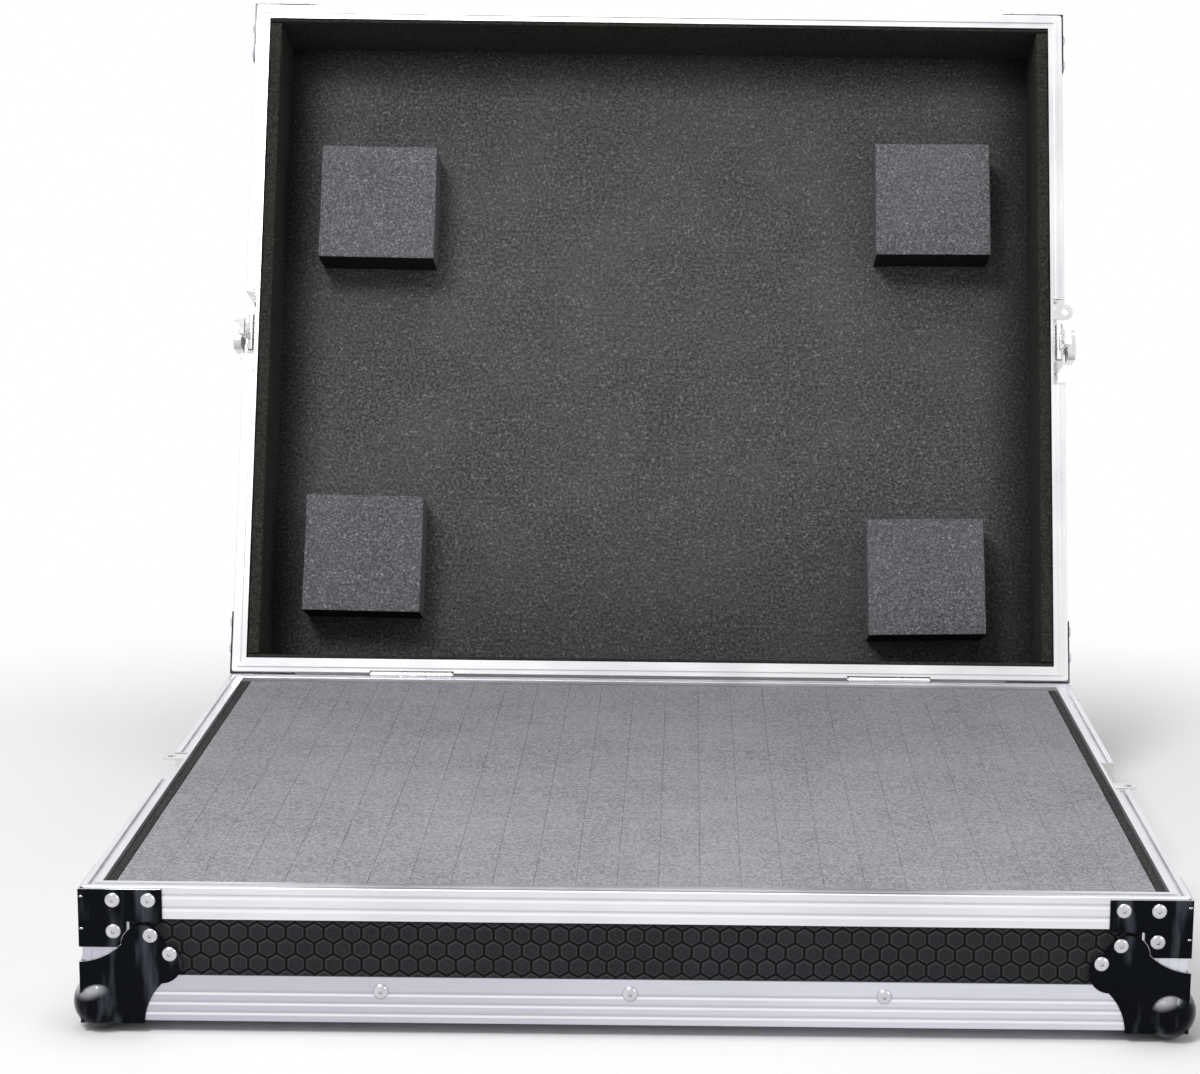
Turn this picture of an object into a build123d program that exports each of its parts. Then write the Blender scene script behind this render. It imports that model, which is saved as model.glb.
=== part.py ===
from build123d import *
from math import cos, sin, radians
import os

os.makedirs("parts", exist_ok=True)

# A shallow flight case for a mixer. The lid is hinged at the rear and stands open.
# X runs along the front, Y to the rear and Z up.
# The origin is the centre of the floor board's underside.

# Overall sizes
case_width = 667.0
case_depth = 555.0
base_height = 83.0
lid_height = 90.0
lid_opening = 109.5
parting_gap = 0.4

# Boards and the aluminium extrusions that hold them
board = 9.0
skin = 1.2
corner_radius = 3.0
rim_flange = 20.0
rim_inner_flange = 10.0
rim_web = 2.6
rim_lines = (5.2, 13.0)
edging_leg = 29.0
edging_lines = (6.3, 12.6, 19.0)
line_width = 0.9
line_depth = 0.4
groove_width = 3.8
groove_depth = 1.8
tongue_width = 2.6
tongue_height = 1.4
edge_round = 0.8

# Corner fittings
ball_radius = 17.2
ball_inset = 9.8
plate = 1.3
ball_blend = 4.0
brace_reach = 49.0
brace_drop = 1.2
brace_height = 20.5
brace_leg_width = 27.5
brace_leg = 36.5
brace_clearance = 0.4

# Foam
pluck_drop = 2.0
floor_foam = 10.0
base_lining_side = 6.5
base_lining_end = 2.0
lining_drop = 3.0
lid_foam = 10.0
lid_lining_side = 10.0
lid_lining_end = 3.0
foam_gap = 0.3
block_size = 96.0
block_thickness = 40.0
block_places = ((-232.0, 396.5, 0.4), (229.0, 405.0, -0.6), (-235.5, 101.5, 0.6), (223.0, 87.5, -1.2))

# Recessed twist latches, one half way along each side
notch = 70.0
recess = 9.0
dish_lip = 8.0
latch_dish_height = 50.0
catch_dish_height = 34.0
dish_round = 5.0
ear_offset = 25.0
ear_out = 0.3
ear_radius = 6.5
ear_hole = 2.9
ear_thickness = 1.4
ear_gap = 0.3
hub_height = 27.0
spindle_radius = 4.0
running = 0.05
frame_half = 16.0
frame_sheet = 1.2
frame_base = 1.4
frame_low = 3.0
frame_high = 46.0
bridge_low = 13.0
bridge_out = 0.4
throw = 4.0
cam_pin_radius = 2.0
draw_thickness = 2.2
draw_centre = -5.0
draw_travel = 2 * throw
hook_swing = 12.0
hook_knuckle = 2.3
hook_pin = 1.3
hook_half = 6.2
hook_sheet = 1.6
hook_clearance = 0.3
pivot_height = 9.0
wing_half = 12.5
wing_low = 6.0
wing_over = 2.9
wing_outer = 9.5
wing_inner = 3.4
wing_sheet = 1.2
wing_axis_out = 5.0
wing_pin = 1.5
wing_bump = 4.2
wing_bump_rise = 3.0
catch_half = 9.0
ledge_out = -4.0
ledge_bottom = -9.4

# Stop hinges
hinge_spacing = 380.0
hinge_width = 64.0
hinge_axis_out = 1.5
knuckle_radius = 2.8
hinge_pin = 1.4
knuckle_width = 21.4
knuckle_gap = 0.3
knuckle_clearance = 0.7
leaf_sheet = 2.0
leaf_length = 42.0
cheek_reach = 22.0
cheek_near = 9.0
cheek_far = 30.0
stop_gap = 0.15

# Carrying handle on the lid's front wall
handle_span = 120.0
handle_bar = 3.0
bail_bend = 5.0
handle_grip = 7.5
handle_drop = 26.0
handle_pivot_out = 9.0
handle_pivot_height = 46.0
bracket_width = 12.0
bracket_depth = 14.0
bracket_height = 17.0

# Sizes that follow from those above
half_width = case_width / 2
half_depth = case_depth / 2
rim_width = board + 2 * skin
parting = base_height
lid_face = parting + parting_gap
hook_lip_top = ledge_bottom - parting_gap - hook_clearance
lid_top = lid_face + lid_height
hinge_y = half_depth + hinge_axis_out
hinge_z = parting + parting_gap / 2
groove_centre = rim_width / 2
bail_leg = handle_span / 2 - bracket_width / 2 - bail_bend - 0.3
slot = 0.3
sides = {
    "front": (0, -half_depth, 0, case_width),
    "right": (half_width, 0, 90, case_depth),
    "rear": (0, half_depth, 180, case_width),
    "left": (-half_width, 0, 270, case_depth),
}
opened = Pos(0, hinge_y, hinge_z) * Rot(X=-lid_opening) * Pos(0, -hinge_y, -hinge_z)
nodes = {}


def keep(name, shape):
    solids = shape.solids() if not isinstance(shape, list) else [s for part in shape for s in part.solids()]
    nodes[name] = solids[0] if len(solids) == 1 else Compound(list(solids))


def keep_on_lid(name, shape):
    parts = shape if isinstance(shape, list) else [shape]
    keep(name, [opened * part for part in parts])


def rect(x0, x1, y0, y1):
    return Pos((x0 + x1) / 2, (y0 + y1) / 2) * Rectangle(abs(x1 - x0), abs(y1 - y0))


def block(x0, x1, y0, y1, z0, z1):
    centre = Pos((x0 + x1) / 2, (y0 + y1) / 2, (z0 + z1) / 2)
    return centre * Box(abs(x1 - x0), abs(y1 - y0), abs(z1 - z0))


def sheet_x(sketch, x0, x1):
    # a sketch in Y and Z, as a plate from x0 to x1
    return extrude(Plane.YZ.offset(min(x0, x1)) * sketch, amount=abs(x1 - x0))


def rod_x(y, z, radius, x0, x1):
    return sheet_x(Pos(y, z) * Circle(radius), x0, x1)


def rod_y(x, z, radius, y0, y1):
    middle = Pos(x, (y0 + y1) / 2, z)
    return middle * Rot(X=90) * Cylinder(radius, abs(y1 - y0))


def place(side, height):
    x, y, turn, length = sides[side]
    return Pos(x, y, height) * Rot(Z=turn)


def rounded_prism(inset, z0, z1):
    radius = max(corner_radius - inset, 0.5)
    outline = RectangleRounded(case_width - 2 * inset, case_depth - 2 * inset, radius)
    return extrude(Plane.XY.offset(z0) * outline, amount=z1 - z0)


# Extrusions: a bar along X with its outer face at y = 0, mitred at both ends

def mitred_bar(section, side, height):
    length = sides[side][3]
    reach = 60.0
    plan = make_face(Polyline((-length / 2, 0), (length / 2, 0), (length / 2 - reach, reach),
                              (-length / 2 + reach, reach), close=True))
    bar = extrude(Plane.YZ.offset(-length / 2) * section, amount=length)
    wedge = extrude(Plane.XY.offset(-200) * plan, amount=400)
    placed = place(side, height) * (bar & wedge)
    return placed & rounded_prism(0, height - 200, height + 200)


def rim_section(up):
    section = rect(0, rim_width, 0, up * rim_web)
    section += rect(0, skin, 0, up * rim_flange)
    section += rect(rim_width - skin, rim_width, 0, up * rim_inner_flange)
    outer = section.vertices().sort_by_distance((0, 0, 0))[0]
    section = fillet(outer, edge_round)
    for line in rim_lines:
        section -= rect(0, line_depth, up * (line - line_width / 2), up * (line + line_width / 2))
    half = groove_width / 2
    if up < 0:
        return section - rect(groove_centre - half, groove_centre + half, -groove_depth, 0)
    half = tongue_width / 2
    return section + rect(groove_centre - half, groove_centre + half, -tongue_height, rim_web)


def edging_section(up):
    # the outer corner is at y = 0 and z = 0, and the leg goes up (base) or down (lid)
    section = rect(0, skin, 0, up * edging_leg) + rect(0, edging_leg, 0, up * skin)
    outer = section.vertices().sort_by_distance((0, 0, 0))[0]
    section = fillet(outer, edge_round)
    for line in edging_lines:
        section -= rect(0, line_depth, up * (line - line_width / 2), up * (line + line_width / 2))
    return section


def corner_edgings(z0, z1):
    ring = rounded_prism(0, z0, z1) - rounded_prism(skin, z0, z1)
    for side in sides:
        x, y, turn, length = sides[side]
        for end in (-1, 1):
            for line in edging_lines:
                along = end * (length / 2 - line)
                cut = block(along - line_width / 2, along + line_width / 2, -1, line_depth, z0, z1)
                ring -= Pos(x, y, 0) * Rot(Z=turn) * cut
    found = []
    for sx in (-1, 1):
        for sy in (-1, 1):
            square = block(sx * half_width, sx * (half_width - edging_leg), sy * half_depth,
                           sy * (half_depth - edging_leg), z0, z1)
            found.append(ring & square)
    return found


# Boards

def wall(side, z0, z1):
    inset = skin
    x = half_width - inset
    y = half_depth - inset
    if side == "front":
        shape = block(-x, x, -y, -y + board, z0, z1)
    elif side == "rear":
        shape = block(-x, x, y - board, y, z0, z1)
    else:
        sign = 1 if side == "right" else -1
        shape = block(sign * (x - board), sign * x, -y + board, y - board, z0, z1)
    return shape & rounded_prism(skin, z0, z1)


def latch_cutout(z0, z1, sign):
    half = notch / 2 + slot
    return block(sign * (half_width - recess - skin), sign * (half_width + 5), -half, half, z0, z1)


def hinge_cutout(z0, z1):
    cuts = []
    depth = knuckle_radius - hinge_axis_out + knuckle_clearance
    for centre in (-hinge_spacing / 2, hinge_spacing / 2):
        half = hinge_width / 2 + 1.3
        cuts.append(block(centre - half, centre + half, half_depth - depth, half_depth + 3, z0, z1))
    return cuts[0] + cuts[1]


# Corner fittings, drawn at the corner where X and Y point inwards from it

def leaf_outline():
    low = -plate
    inner = 37.2
    waist = (48.0, 24.0)
    lobe = (60.4, 37.5)
    cleft = (50.4, 49.2)
    edges = [
        Line((low, low), (inner, low)),
        ThreePointArc((inner, low), (40.4, 12.8), waist),
        ThreePointArc(waist, lobe, cleft),
        ThreePointArc((cleft[0], cleft[1]), (cleft[0] - 0.2, cleft[1] + 0.5), (cleft[1], cleft[0])),
        ThreePointArc((cleft[1], cleft[0]), (lobe[1], lobe[0]), (waist[1], waist[0])),
        ThreePointArc((waist[1], waist[0]), (12.8, 40.4), (low, inner)),
        Line((low, inner), (low, low)),
    ]
    return make_face(Curve() + edges)


def ball_corner():
    # three leaves on the three faces that meet at the corner, and the ball
    leaf = leaf_outline()
    on_z = extrude(Plane.XY.offset(-plate) * leaf, amount=plate)
    on_y = extrude(Plane(origin=(0, -plate, 0), x_dir=(1, 0, 0), z_dir=(0, -1, 0)) * leaf, amount=-plate)
    on_x = extrude(Plane(origin=(-plate, 0, 0), x_dir=(0, 1, 0), z_dir=(1, 0, 0)) * leaf, amount=plate)
    ball = Pos(ball_inset, ball_inset, ball_inset) * Sphere(ball_radius)
    inside = block(0, 100, 0, 100, 0, 100)
    shape = (on_z + on_y + on_x + ball) - inside
    # the ball runs into the leaves through a soft neck, along the arcs where they meet
    reach = ball_inset + plate
    neck = (ball_radius ** 2 - reach ** 2) ** 0.5
    arcs = shape.edges().filter_by(lambda e: e.geom_type == GeomType.CIRCLE and abs(e.radius - neck) < 0.05)
    return fillet(arcs, ball_blend)


def brace(height):
    # two L-shaped plates joined at the corner edge, cut back round the ball corner's leaves
    # Z is measured from the rim's face, and the far corner is at height
    outline = rect(-plate, brace_reach, brace_drop, brace_drop + brace_height)
    outline += rect(-plate, brace_leg_width, brace_drop, brace_drop + brace_leg)
    corners = outline.vertices().filter_by(lambda v: v.X > 1)
    outline = fillet(corners, 1.0)
    on_y = extrude(Plane(origin=(0, -plate, 0), x_dir=(1, 0, 0), z_dir=(0, -1, 0)) * outline, amount=-plate)
    on_x = extrude(Plane(origin=(-plate, 0, 0), x_dir=(0, 1, 0), z_dir=(1, 0, 0)) * outline, amount=plate)
    shape = on_y + on_x
    leaf = extrude(offset(leaf_outline(), brace_clearance), amount=plate * 4, both=True)
    shape -= Plane(origin=(0, 0, height), x_dir=(1, 0, 0), z_dir=(0, 1, 0)) * leaf
    return shape - Plane(origin=(0, 0, height), x_dir=(0, 1, 0), z_dir=(-1, 0, 0)) * leaf


def at_corners(shape, z, flip):
    # the corner's own X and Y point inwards, so each copy turns by a quarter
    found = []
    for turn, sx, sy in ((0, -1, -1), (90, 1, -1), (180, 1, 1), (270, -1, 1)):
        spin = Rot(Z=turn)
        spot = Pos(sx * half_width, sy * half_depth, z)
        if flip:
            found.append(spot * spin * Rot(Z=90) * Rot(X=180) * shape)
        else:
            found.append(spot * spin * shape)
    return found


# Latch halves on the right side, with w measured from the half's own parting face

def dish(face, up, height, wall_height):
    # the lip stops short of the edging that runs along the far side of the wall
    half = notch / 2
    lip_reach = min(height + dish_lip, wall_height + skin - edging_leg - slot)
    outline = rect(-half, half, up * 0.2, up * height)
    far = outline.vertices().filter_by(lambda v: abs(v.Y) > 1)
    outline = fillet(far, dish_round)
    inner = rect(-half + skin, half - skin, -up * 5, up * (height - skin))
    far = inner.vertices().filter_by(lambda v: up * v.Y > 1)
    inner = fillet(far, dish_round - skin)
    lip = rect(-half - dish_lip, half + dish_lip, up * (rim_flange + slot), up * lip_reach)
    far = lip.vertices().filter_by(lambda v: abs(v.Y) > rim_flange + 1)
    lip = fillet(far, dish_round)
    tray = sheet_x(Pos(0, face) * outline, half_width - recess - skin, half_width)
    tray += sheet_x(Pos(0, face) * lip, half_width - skin, half_width)
    tray -= sheet_x(Pos(0, face) * inner, half_width - recess, half_width + 5)
    ear = rect(half_width - recess - skin / 2, half_width + ear_out, -ear_offset - ear_radius, -ear_offset + ear_radius)
    ear += Pos(half_width + ear_out, -ear_offset) * Circle(ear_radius)
    ear -= Pos(half_width + ear_out, -ear_offset) * Circle(ear_hole)
    low = face + up * ear_gap
    high = face + up * (ear_gap + ear_thickness)
    return tray + extrude(Plane.XY.offset(min(low, high)) * ear, amount=abs(high - low))


def latch_frame(face):
    low = face + frame_low
    high = face + frame_high
    out = half_width + bridge_out
    floor = half_width - recess
    channel = block(floor, out, -frame_half, frame_half, low, high)
    channel -= block(floor + frame_base, out - 1.4, -frame_half + frame_sheet, frame_half - frame_sheet, low - 1, high + 1)
    channel -= block(floor + frame_base, out + 1, -frame_half - 1, frame_half + 1, low - 1, face + bridge_low - 4)
    channel -= block(out - 1.4, out + 1, -frame_half - 1, frame_half + 1, low - 1, face + bridge_low)
    tabs = block(floor, half_width - 1, -frame_half, frame_half, low, face + bridge_low - 3)
    tabs -= block(floor + frame_base, half_width + 1, -frame_half + frame_sheet, frame_half - frame_sheet, low - 1, high)
    channel += tabs
    return channel - rod_x(0, face + hub_height, spindle_radius + running, half_width - 5, half_width + 5)


def hub(face):
    middle = face + hub_height
    x = half_width
    shape = rod_x(0, middle, 7.0, x - 3.6, x - 1.3)
    shape += rod_x(0, middle, spindle_radius, x - 3.0, x + 1.4)
    shape += rod_x(0, middle - throw, cam_pin_radius, x - 6.8, x - 3.0)
    shape += rod_x(0, middle, 5.4, x + bridge_out + slot, x + 1.8)
    shape += block(x + 1.2, x + wing_axis_out, -5, 5, middle - 3, middle + 3)
    shape += rod_y(x + wing_axis_out, middle, 3.0, -5, 5)
    return shape - rod_y(x + wing_axis_out, middle, wing_pin + running, -6, 6)


def wing(face):
    middle = face + hub_height
    x = half_width
    outline = rect(-wing_half, wing_half, face + wing_low, middle + wing_over)
    low = outline.vertices().filter_by(lambda v: v.Y < middle)
    outline = fillet(low, 7.0)
    hollow = rect(-wing_half + wing_sheet, wing_half - wing_sheet, face + wing_low + wing_sheet, middle + wing_over + 1)
    low = hollow.vertices().filter_by(lambda v: v.Y < middle)
    hollow = fillet(low, 7.0 - wing_sheet)
    shape = sheet_x(outline, x + wing_inner, x + wing_outer)
    shape -= sheet_x(hollow, x + wing_inner - 1, x + wing_outer - wing_sheet)
    shape += rod_y(x + wing_axis_out, middle, wing_pin, -wing_half + 0.2, wing_half - 0.2)
    bump = rod_x(0, middle - 1.5, wing_bump, x + wing_outer - 0.6, x + wing_outer + wing_bump_rise)
    return shape + fillet(bump.edges().sort_by(Axis.X)[-1:], wing_bump_rise - 0.2)


def draw_plate(face, rise):
    # rise is 0 with the hook let down, and draw_travel when it is drawn up
    x0 = half_width + draw_centre - draw_thickness / 2
    x1 = x0 + draw_thickness
    half = frame_half - frame_sheet - slot
    base = face - draw_travel + rise
    pivot = base + pivot_height
    outline = rect(-half, half, pivot, base + 43)
    outline -= rect(-hook_half - slot, hook_half + slot, pivot - 1, pivot + hook_knuckle + slot)
    cam = base + hub_height + throw
    outline -= rect(-throw - cam_pin_radius - 0.8, throw + cam_pin_radius + 0.8, cam - 3.0, cam + 3.0)
    shape = sheet_x(outline, x0, x1)
    for sign in (-1, 1):
        shape += rod_y(half_width + draw_centre, pivot, hook_knuckle, sign * (hook_half + slot), sign * half)
    return shape + rod_y(half_width + draw_centre, pivot, hook_pin, -half, half)


def hook(face):
    # drawn up and swung in, then let down and swung out to its rest
    x = half_width
    pivot_x = half_width + draw_centre
    pivot_z = face + pivot_height
    bottom = hook_lip_top - hook_sheet
    outline = Polyline((x - 4.4, face + pivot_height), (x - 2.7, face + pivot_height), (x - 1.8, face + 5),
                       (x - 1.8, face + bottom), (x - 7.4, face + bottom), (x - 7.4, face + hook_lip_top),
                       (x - 3.4, face + hook_lip_top), (x - 3.4, face + 4.6), close=True)
    profile = make_face(outline)
    shape = extrude(Plane(origin=(0, hook_half, 0), x_dir=(1, 0, 0), z_dir=(0, -1, 0)) * profile, amount=2 * hook_half)
    shape += rod_y(pivot_x, pivot_z, hook_knuckle, -hook_half, hook_half)
    shape -= rod_y(pivot_x, pivot_z, hook_pin + running, -hook_half - 1, hook_half + 1)
    swing = Pos(pivot_x, 0, pivot_z) * Rot(Y=-hook_swing) * Pos(-pivot_x, 0, -pivot_z)
    return Pos(0, 0, -draw_travel) * swing * shape


def catch(face):
    floor = half_width - recess
    shape = block(floor, floor + 1.4, -catch_half, catch_half, face - 28, face + ledge_bottom + 1.4)
    ledge = block(floor, half_width + ledge_out, -catch_half, catch_half, face + ledge_bottom, face + ledge_bottom + 1.4)
    return shape + ledge


# Stop hinges

def hinge_leaf(centre, up):
    # up is -1 for the leaf on the base and 1 for the leaf on the lid
    half = hinge_width / 2
    y0 = half_depth
    y1 = half_depth + leaf_sheet
    far = hinge_z + up * leaf_length
    outer = knuckle_width / 2 + knuckle_gap
    clear = hinge_z + up * (knuckle_radius + 0.8)
    leaf = block(centre - half, centre + half, y0, y1, clear, far)
    if up < 0:
        spans = ((centre - half, centre - outer), (centre + outer, centre + half))
    else:
        spans = ((centre - knuckle_width / 2, centre + knuckle_width / 2),)
    for x0, x1 in spans:
        leaf += block(x0, x1, y0, y1, hinge_z, far)
        leaf += rod_x(hinge_y, hinge_z, knuckle_radius, x0, x1)
    leaf -= rod_x(hinge_y, hinge_z, hinge_pin + running, centre - half - 1, centre + half + 1)
    slope = radians(lid_opening / 2)
    edge = (stop_gap * sin(slope), stop_gap * cos(slope))
    near = (hinge_y + cheek_near * cos(slope) - edge[0], hinge_z + up * (cheek_near * sin(slope) + edge[1]))
    tip = (hinge_y + cheek_reach * cos(slope) - edge[0], hinge_z + up * (cheek_reach * sin(slope) + edge[1]))
    cheek = make_face(Polyline((y1 - 0.5, hinge_z + up * cheek_near), near, tip,
                               (y1 - 0.5, hinge_z + up * cheek_far), close=True))
    for x0, x1 in ((centre - half, centre - half + leaf_sheet), (centre + half - leaf_sheet, centre + half)):
        leaf += sheet_x(cheek, x0, x1)
    return leaf


# Carrying handle on the front wall of the lid

def handle_bracket(sign):
    x = sign * handle_span / 2
    y = -half_depth
    z = lid_face + handle_pivot_height
    profile = rect(y - bracket_depth, y + skin, z - bracket_height / 2, z + bracket_height / 2)
    outer = profile.vertices().filter_by(lambda v: v.X < y)
    profile = fillet(outer, 5.0)
    foot = rect(y, y + skin, z - bracket_height, z + bracket_height / 2)
    shape = sheet_x(profile + foot, x - bracket_width / 2, x + bracket_width / 2)
    bore = rod_x(y - handle_pivot_out, z, handle_bar + running, x - sign * 20, x + sign * (bracket_width / 2 - 2))
    return shape - bore


def handle_bail():
    # it lies towards the lid's top, where it falls with the lid open
    y = -half_depth - handle_pivot_out
    z = lid_face + handle_pivot_height
    far = z + handle_drop
    end = handle_span / 2 + bracket_width / 2 - 2 - slot
    leg = bail_leg
    path = FilletPolyline((end, y, z), (leg, y, z), (leg, y, far), (-leg, y, far), (-leg, y, z), (-end, y, z),
                          radius=bail_bend)
    return sweep(Plane(origin=(end, y, z), z_dir=(-1, 0, 0)) * Circle(handle_bar), path=path)


def handle_sleeve():
    y = -half_depth - handle_pivot_out
    z = lid_face + handle_pivot_height + handle_drop
    reach = bail_leg - bail_bend - 0.5
    sleeve = rod_x(y, z, handle_grip, -reach, reach)
    sleeve = fillet(sleeve.edges().filter_by(GeomType.CIRCLE), 1.5)
    return sleeve - rod_x(y, z, handle_bar + running, -reach - 1, reach + 1)


# Base
edge_z = -skin
keep("base_floor_panel", block(-half_width + skin, half_width - skin, -half_depth + skin, half_depth - skin, 0, board)
     & rounded_prism(skin, 0, board))
for side in sides:
    panel = wall(side, board, parting - rim_web)
    rim = mitred_bar(rim_section(-1), side, parting)
    if side in ("left", "right"):
        sign = 1 if side == "right" else -1
        panel -= latch_cutout(parting - catch_dish_height - slot, parting + 1, sign)
        rim -= latch_cutout(parting - rim_flange - 1, parting + 1, sign)
    if side == "rear":
        panel -= hinge_cutout(hinge_z - knuckle_radius - knuckle_clearance, parting + 1)
        rim -= hinge_cutout(hinge_z - knuckle_radius - knuckle_clearance, parting + 1)
    keep("base_wall_" + side, panel)
    keep("base_rim_" + side, rim)
keep("base_bottom_edgings", [mitred_bar(edging_section(1), side, edge_z) for side in sides])
keep("base_corner_edgings", corner_edgings(edging_leg - skin, parting - rim_flange))
ball = ball_corner()
keep("base_ball_corners", at_corners(ball, edge_z, False))
keep("base_braces", at_corners(brace(base_height + skin), parting, True))

lining_x = half_width - rim_width
lining_y = half_depth - rim_width
foam_floor = board + floor_foam
keep("floor_foam", block(-lining_x, lining_x, -lining_y, lining_y, board, foam_floor))
linings = []
for sign in (-1, 1):
    linings.append(block(sign * lining_x, sign * (lining_x - base_lining_side), -lining_y + base_lining_end,
                         lining_y - base_lining_end, foam_floor, parting - lining_drop)
                   - latch_cutout(parting - catch_dish_height - slot, parting + 1, sign))
    linings.append(block(-lining_x, lining_x, sign * lining_y, sign * (lining_y - base_lining_end),
                         foam_floor, parting - lining_drop))
keep("base_lining", linings)
keep("pluck_foam", block(-lining_x + base_lining_side + foam_gap, lining_x - base_lining_side - foam_gap,
                         -lining_y + base_lining_end + foam_gap, lining_y - base_lining_end - foam_gap,
                         foam_floor, parting - pluck_drop))

half_turn = Rot(Z=180)
catch_dish = dish(parting, -1, catch_dish_height, base_height)
catch_piece = catch(parting)
keep("catch_dish_right", catch_dish)
keep("catch_dish_left", half_turn * catch_dish)
keep("catch_right", catch_piece)
keep("catch_left", half_turn * catch_piece)
hinge_places = (-hinge_spacing / 2, hinge_spacing / 2)
keep("hinge_lower_leaves", [hinge_leaf(x, -1) for x in hinge_places])
keep("hinge_pins", [rod_x(hinge_y, hinge_z, hinge_pin, x - hinge_width / 2 - 1, x + hinge_width / 2 + 1)
                    for x in hinge_places])

# Lid, modelled closed and then swung open
keep_on_lid("lid_top_panel", block(-half_width + skin, half_width - skin, -half_depth + skin, half_depth - skin,
                                   lid_top - board, lid_top) & rounded_prism(skin, lid_top - board, lid_top))
for side in sides:
    panel = wall(side, lid_face + rim_web, lid_top - board)
    rim = mitred_bar(rim_section(1), side, lid_face)
    if side in ("left", "right"):
        sign = 1 if side == "right" else -1
        panel -= latch_cutout(lid_face - 1, lid_face + latch_dish_height + slot, sign)
        rim -= latch_cutout(lid_face - 3, lid_face + rim_flange + 1, sign)
    if side == "rear":
        panel -= hinge_cutout(lid_face - 3, hinge_z + knuckle_radius + knuckle_clearance)
        rim -= hinge_cutout(lid_face - 3, hinge_z + knuckle_radius + knuckle_clearance)
    keep_on_lid("lid_wall_" + side, panel)
    keep_on_lid("lid_rim_" + side, rim)
keep_on_lid("lid_top_edgings", [mitred_bar(edging_section(-1), side, lid_top + skin) for side in sides])
keep_on_lid("lid_corner_edgings", corner_edgings(lid_face + rim_flange, lid_top - edging_leg + skin))
keep_on_lid("lid_ball_corners", at_corners(ball, lid_top + skin, True))
keep_on_lid("lid_braces", at_corners(brace(lid_height + skin), lid_face, False))

foam_face = lid_top - board - lid_foam
keep_on_lid("lid_back_foam", block(-lining_x, lining_x, -lining_y, lining_y, foam_face, lid_top - board))
linings = []
for sign in (-1, 1):
    linings.append(block(sign * lining_x, sign * (lining_x - lid_lining_side), -lining_y + lid_lining_end,
                         lining_y - lid_lining_end, lid_face + 1, foam_face)
                   - latch_cutout(lid_face - 1, lid_face + latch_dish_height + slot, sign))
    linings.append(block(-lining_x, lining_x, sign * lining_y, sign * (lining_y - lid_lining_end),
                         lid_face + 1, foam_face))
keep_on_lid("lid_lining", linings)
blocks = []
for x, v, turn in block_places:
    cube = Pos(x, half_depth - v, foam_face - block_thickness / 2) * Rot(Z=turn)
    blocks.append(cube * Box(block_size, block_size, block_thickness))
keep_on_lid("foam_blocks", blocks)

for side, turn in (("right", Rot()), ("left", half_turn)):
    keep_on_lid("latch_dish_" + side, turn * dish(lid_face, 1, latch_dish_height, lid_height))
    keep_on_lid("latch_frame_" + side, turn * latch_frame(lid_face))
    keep_on_lid("latch_hub_" + side, turn * hub(lid_face))
    keep_on_lid("latch_wing_" + side, turn * wing(lid_face))
    keep_on_lid("latch_draw_plate_" + side, turn * draw_plate(lid_face, 0))
    keep_on_lid("latch_hook_" + side, turn * hook(lid_face))

keep_on_lid("hinge_upper_leaves", [hinge_leaf(x, 1) for x in hinge_places])
keep_on_lid("handle_brackets", [handle_bracket(-1), handle_bracket(1)])
keep_on_lid("handle_bail", handle_bail())
keep_on_lid("handle_grip", handle_sleeve())

for name, shape in nodes.items():
    shape.label = name
    export_step(shape, "parts/" + name + ".step")
print(len(nodes), "nodes")
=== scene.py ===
import math
import random

import bpy
from mathutils import Matrix, Vector


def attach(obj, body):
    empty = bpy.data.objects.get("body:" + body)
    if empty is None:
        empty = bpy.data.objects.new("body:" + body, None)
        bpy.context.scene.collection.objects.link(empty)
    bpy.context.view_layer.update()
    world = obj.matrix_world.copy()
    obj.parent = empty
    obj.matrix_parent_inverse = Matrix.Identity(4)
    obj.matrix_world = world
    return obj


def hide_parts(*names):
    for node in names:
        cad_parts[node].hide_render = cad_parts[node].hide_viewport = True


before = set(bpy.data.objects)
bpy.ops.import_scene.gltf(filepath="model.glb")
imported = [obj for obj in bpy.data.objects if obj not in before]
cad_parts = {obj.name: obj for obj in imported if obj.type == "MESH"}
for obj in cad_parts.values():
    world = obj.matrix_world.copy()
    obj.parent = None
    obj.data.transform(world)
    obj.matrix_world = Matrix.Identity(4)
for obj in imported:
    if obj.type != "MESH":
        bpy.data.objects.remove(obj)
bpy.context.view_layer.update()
random.seed(7)

# millimetres and degrees, with the lid shut and heights from the floor board's underside
caseSize = {"width": 667.0, "depth": 555.0, "rimTop": 83.0, "lidFace": 83.4, "opening": 109.5,
            "edgingUnderside": -1.2, "lidEdgingTop": 174.6, "hinge": (0.0, 279.0, 83.2)}
insideSize = {"x": 322.1, "y": 266.1}
millimetres = (1000, 1000, 1000)
halfWidth = caseSize["width"] / 2
halfDepth = caseSize["depth"] / 2
hingePoint = Vector(caseSize["hinge"])
lidSwing = (Matrix.Translation(hingePoint) @ Matrix.Rotation(math.radians(-caseSize["opening"]), 4, "X")
            @ Matrix.Translation(-hingePoint))
mixSockets = {"factor": 0, "low": 6, "high": 7, "result": 2}


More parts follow.
